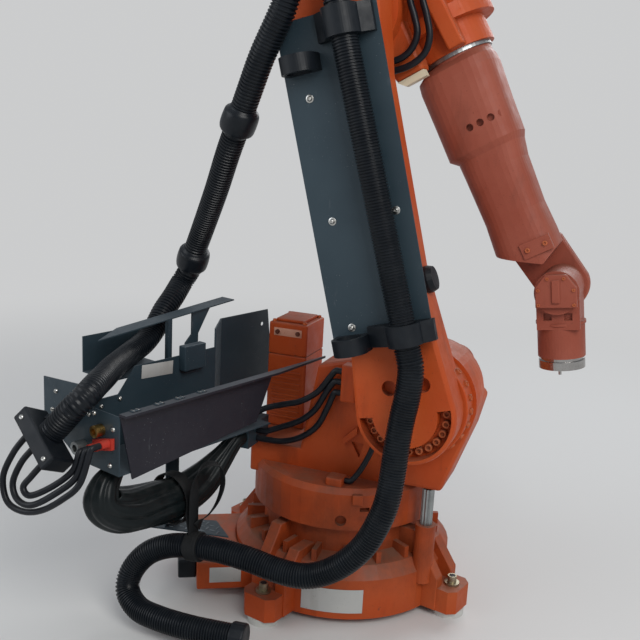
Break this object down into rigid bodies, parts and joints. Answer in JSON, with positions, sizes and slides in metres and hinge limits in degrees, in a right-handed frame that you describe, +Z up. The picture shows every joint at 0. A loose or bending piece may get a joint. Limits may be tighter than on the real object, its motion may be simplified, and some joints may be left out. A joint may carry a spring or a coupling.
{
  "type": "industrial robot arm",
  "caption": "Floor-standing jointed robot arm: round cast base, turning frame, lower arm with hose and plate, upper arm, long forearm, wrist and tool flange.",
  "frame": {"origin": "on axis 1, on the underside of the base casting", "axes": "+Z up along axis 1; +X the way the arm points at rest; +Y to its left, along axes 2, 3 and 5"},
  "size_m": [1.6242, 1.5311, 2.6046],
  "materials": {
    "orange_paint": "satin",
    "faded_paint": "satin",
    "slate_sheet": "satin",
    "plum_sheet": "satin",
    "black_plastic": "matte",
    "black_hose": "satin",
    "black_cable": "satin",
    "black_film": "satin",
    "cream_plastic": "satin",
    "red_fitting": "satin",
    "brass": "satin",
    "pad_white": "matte",
    "zinc": "satin",
    "grey_steel": "satin",
    "bright_steel": "polished"
  },
  "bodies": {
    "base": {"base_casting": "orange_paint", "anchor_pad_1": "pad_white", "anchor_pad_2": "pad_white", "anchor_pad_3": "pad_white", "anchor_pad_4": "pad_white", "anchor_bolt_1": "zinc", "anchor_bolt_2": "zinc", "anchor_bolt_3": "zinc", "anchor_bolt_4": "zinc", "base_connector_box": "orange_paint", "base_connector_plug": "black_plastic", "ribbed_sleeve": "grey_steel"},
    "frame": {"frame_casting": "orange_paint", "axis2_gear_ring": "orange_paint", "axis1_motor": "orange_paint", "axis1_motor_cover": "orange_paint", "axis2_motor": "orange_paint", "bracket_stay": "slate_sheet", "bracket_tray": "slate_sheet", "front_panel": "plum_sheet", "end_panel": "slate_sheet", "top_plate": "slate_sheet", "rear_clamp": "black_plastic", "fitting_brass": "brass", "fitting_steel": "grey_steel", "fitting_red": "red_fitting", "rear_cable_1": "black_cable", "rear_cable_2": "black_cable", "rear_cable_3": "black_cable", "cable_bundle": "black_film", "chequer_plate": "slate_sheet", "hose_strap": "black_plastic", "drive_cable_1": "black_cable", "drive_cable_2": "black_cable", "drive_cable_3": "black_cable", "hub_cable": "black_cable", "lower_hose": "black_hose", "hose_cuff": "black_plastic", "upper_hose": "black_hose"},
    "lower_arm": {"lower_arm_casting": "orange_paint", "arm_plate": "slate_sheet", "arm_hose": "black_hose", "lower_clamp": "black_plastic", "upper_clamp": "black_plastic", "spare_clip_lower": "black_plastic", "spare_clip_upper": "black_plastic", "rubber_stop": "black_plastic"},
    "upper_arm": {"upper_arm_casting": "orange_paint", "forearm_rest": "cream_plastic", "arm_cable_1": "black_cable", "arm_cable_2": "black_cable", "axis3_motor": "orange_paint", "axis4_motor": "orange_paint", "axis5_motor": "orange_paint", "axis6_motor": "orange_paint"},
    "forearm": {"forearm_tube": "faded_paint", "forearm_ring": "grey_steel"},
    "wrist": {"wrist_housing": "faded_paint", "wrist_cover": "faded_paint"},
    "tool": {"tool_flange": "bright_steel"}
  },
  "joints": [
    {"name": "axis_1", "type": "hinge", "parent": "base", "child": "frame", "pos_m": [0, 0, 0.3], "axis": [0, 0, 1], "range_deg": [-139.3, 200.7]},
    {"name": "axis_2", "type": "hinge", "parent": "frame", "child": "lower_arm", "pos_m": [0.32, 0, 0.78], "axis": [0, 1, 0], "range_deg": [-50.5, 99.5], "deforming": ["lower_hose", "upper_hose"]},
    {"name": "axis_3", "type": "hinge", "parent": "lower_arm", "child": "upper_arm", "pos_m": [-0.00049, 0, 2.01923], "axis": [0, -1, 0], "range_deg": [0, 254.7]},
    {"name": "axis_4", "type": "hinge", "parent": "upper_arm", "child": "forearm", "pos_m": [0.1735, 0, 2.11787], "axis": [0.4932, 0, -0.8699], "range_deg": [-300, 300]},
    {"name": "axis_5", "type": "hinge", "parent": "forearm", "child": "wrist", "pos_m": [0.71107, 0, 1.16965], "axis": [0, 1, 0], "range_deg": [-141.8, 98.1]},
    {"name": "axis_6", "type": "hinge", "parent": "wrist", "child": "tool", "pos_m": [0.71107, 0, 1.16965], "axis": [0.134, 0, -0.991], "range_deg": [-300, 300]}
  ]
}
